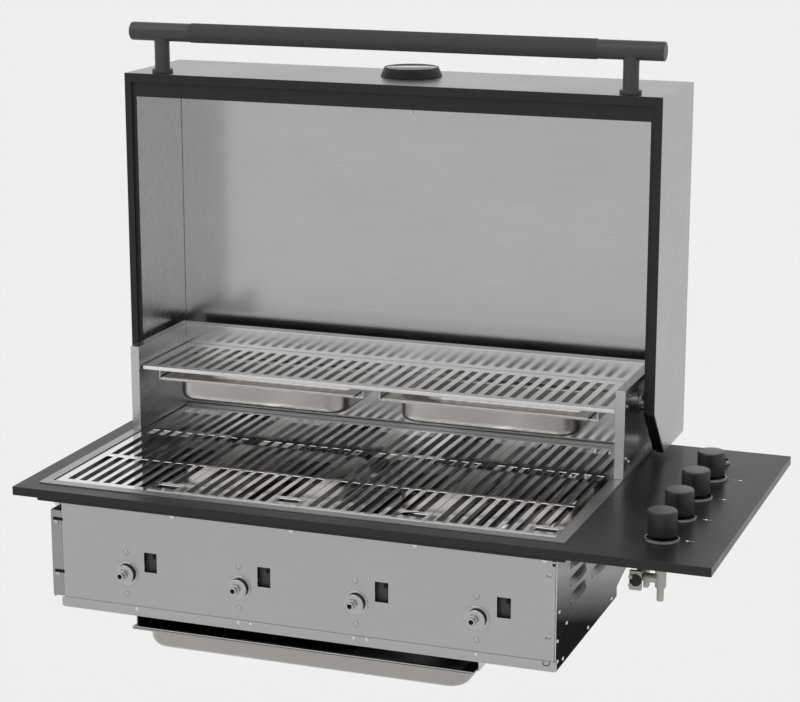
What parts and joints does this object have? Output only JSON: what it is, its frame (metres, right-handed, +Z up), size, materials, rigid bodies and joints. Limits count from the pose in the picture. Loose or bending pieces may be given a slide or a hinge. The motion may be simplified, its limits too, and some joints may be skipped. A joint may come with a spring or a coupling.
{
  "type": "built-in gas barbecue",
  "caption": "Drop-in gas barbecue: black deck over a steel firebox with burners, slotted grates, warming rack, hanging pans, side controls, drip tray and a hinged hood.",
  "frame": {"origin": "middle of the rear strip of the mounting frame's underside, the face that rests on the bench", "axes": "+X along the deck towards the controls at its right end, +Y back, towards the hinge side and the open hood, +Z up. The rest pose has the hood fully open."},
  "size_m": [1.1112, 0.633, 0.9331],
  "materials": {
    "enamel_black": "satin black vitreous enamel",
    "steel_brushed": "brushed stainless steel sheet",
    "steel_polished": "bright stainless steel",
    "plastic_black": "matt black heat-resistant plastic",
    "brass": "nickel-dulled brass castings",
    "tube_alloy": "dull drawn aluminium tube",
    "dial_white": "white dial face",
    "dial_glass": "clear flat glass"
  },
  "bodies": {
    "base": {"deck_plate": "enamel_black", "mounting_frame": "enamel_black", "grate_rim": "steel_brushed", "grate_1": "steel_polished", "grate_2": "steel_polished", "grate_3": "steel_polished", "grate_4": "steel_polished", "cheek_left": "steel_brushed", "cheek_right": "steel_brushed", "back_splash": "steel_brushed", "warming_rack": "steel_brushed", "pan_runner_left": "steel_brushed", "pan_runner_right": "steel_brushed", "front_panel": "steel_brushed", "bottom_plate": "steel_brushed", "side_panel_left": "steel_brushed", "side_panel_right": "steel_brushed", "rear_wall": "steel_brushed", "flame_tamer_1": "steel_brushed", "flame_tamer_2": "steel_brushed", "flame_tamer_3": "steel_brushed", "flame_tamer_4": "steel_brushed", "burner_1": "steel_polished", "burner_2": "steel_polished", "burner_3": "steel_polished", "burner_4": "steel_polished", "drip_rails": "steel_brushed", "hinge_pin_left": "steel_polished", "hinge_pin_right": "steel_polished", "valve_1": "brass", "valve_2": "brass", "valve_3": "brass", "valve_4": "brass", "gas_manifold": "steel_brushed", "supply_tubes": "tube_alloy", "igniter_housing": "steel_polished"},
    "hood": {"hood_shell": "steel_brushed", "hood_liner": "steel_brushed", "hood_inner_side_left": "steel_brushed", "hood_inner_side_right": "steel_brushed", "hood_trim": "enamel_black", "handle_bar": "enamel_black", "handle_grip": "plastic_black", "handle_post_left": "enamel_black", "handle_post_right": "enamel_black", "thermometer_bezel": "enamel_black", "thermometer_dial": "dial_white", "thermometer_glass": "dial_glass"},
    "stem_1": {"valve_stem_1": "steel_polished"},
    "knob_1": {"knob_1": "plastic_black"},
    "stem_2": {"valve_stem_2": "steel_polished"},
    "knob_2": {"knob_2": "plastic_black"},
    "stem_3": {"valve_stem_3": "steel_polished"},
    "knob_3": {"knob_3": "plastic_black"},
    "stem_4": {"valve_stem_4": "steel_polished"},
    "knob_4": {"knob_4": "plastic_black"},
    "igniter": {"igniter_button": "plastic_black"},
    "drip_tray": {"drip_tray": "steel_brushed"},
    "pan_left": {"pan_left": "steel_brushed"},
    "pan_right": {"pan_right": "steel_brushed"}
  },
  "joints": [
    {"name": "hood_hinge", "type": "hinge", "parent": "base", "child": "hood", "pos_m": [-0.011, -0.0555, 0.1075], "axis": [1, 0, 0], "range_deg": [0, 90]},
    {"name": "stem_1_turn", "type": "hinge", "parent": "base", "child": "stem_1", "pos_m": [0.5443, -0.4665, 0.018], "axis": [0, 0, 1], "range_deg": [0, 180]},
    {"name": "knob_1_push", "type": "slide", "parent": "stem_1", "child": "knob_1", "axis": [0, 0, -1], "range_m": [0, 0.003], "stiffness_N_per_m": 1000, "springref_m": -0.002},
    {"name": "stem_2_turn", "type": "hinge", "parent": "base", "child": "stem_2", "pos_m": [0.5443, -0.3597, 0.018], "axis": [0, 0, 1], "range_deg": [0, 180]},
    {"name": "knob_2_push", "type": "slide", "parent": "stem_2", "child": "knob_2", "axis": [0, 0, -1], "range_m": [0, 0.003], "stiffness_N_per_m": 1000, "springref_m": -0.002},
    {"name": "stem_3_turn", "type": "hinge", "parent": "base", "child": "stem_3", "pos_m": [0.5443, -0.2529, 0.018], "axis": [0, 0, 1], "range_deg": [0, 180]},
    {"name": "knob_3_push", "type": "slide", "parent": "stem_3", "child": "knob_3", "axis": [0, 0, -1], "range_m": [0, 0.003], "stiffness_N_per_m": 1000, "springref_m": -0.002},
    {"name": "stem_4_turn", "type": "hinge", "parent": "base", "child": "stem_4", "pos_m": [0.5443, -0.1461, 0.018], "axis": [0, 0, 1], "range_deg": [0, 180]},
    {"name": "knob_4_push", "type": "slide", "parent": "stem_4", "child": "knob_4", "axis": [0, 0, -1], "range_m": [0, 0.003], "stiffness_N_per_m": 1000, "springref_m": -0.002},
    {"name": "igniter_push", "type": "slide", "parent": "base", "child": "igniter", "axis": [0, 0, -1], "range_m": [0, 0.003], "stiffness_N_per_m": 500, "springref_m": -0.002},
    {"name": "drip_tray_slide", "type": "slide", "parent": "base", "child": "drip_tray", "axis": [0, -1, 0], "range_m": [0, 0.26]},
    {"name": "pan_left_slide", "type": "slide", "parent": "base", "child": "pan_left", "axis": [0, -1, 0], "range_m": [0, 0.12]},
    {"name": "pan_right_slide", "type": "slide", "parent": "base", "child": "pan_right", "axis": [0, -1, 0], "range_m": [0, 0.12]}
  ]
}
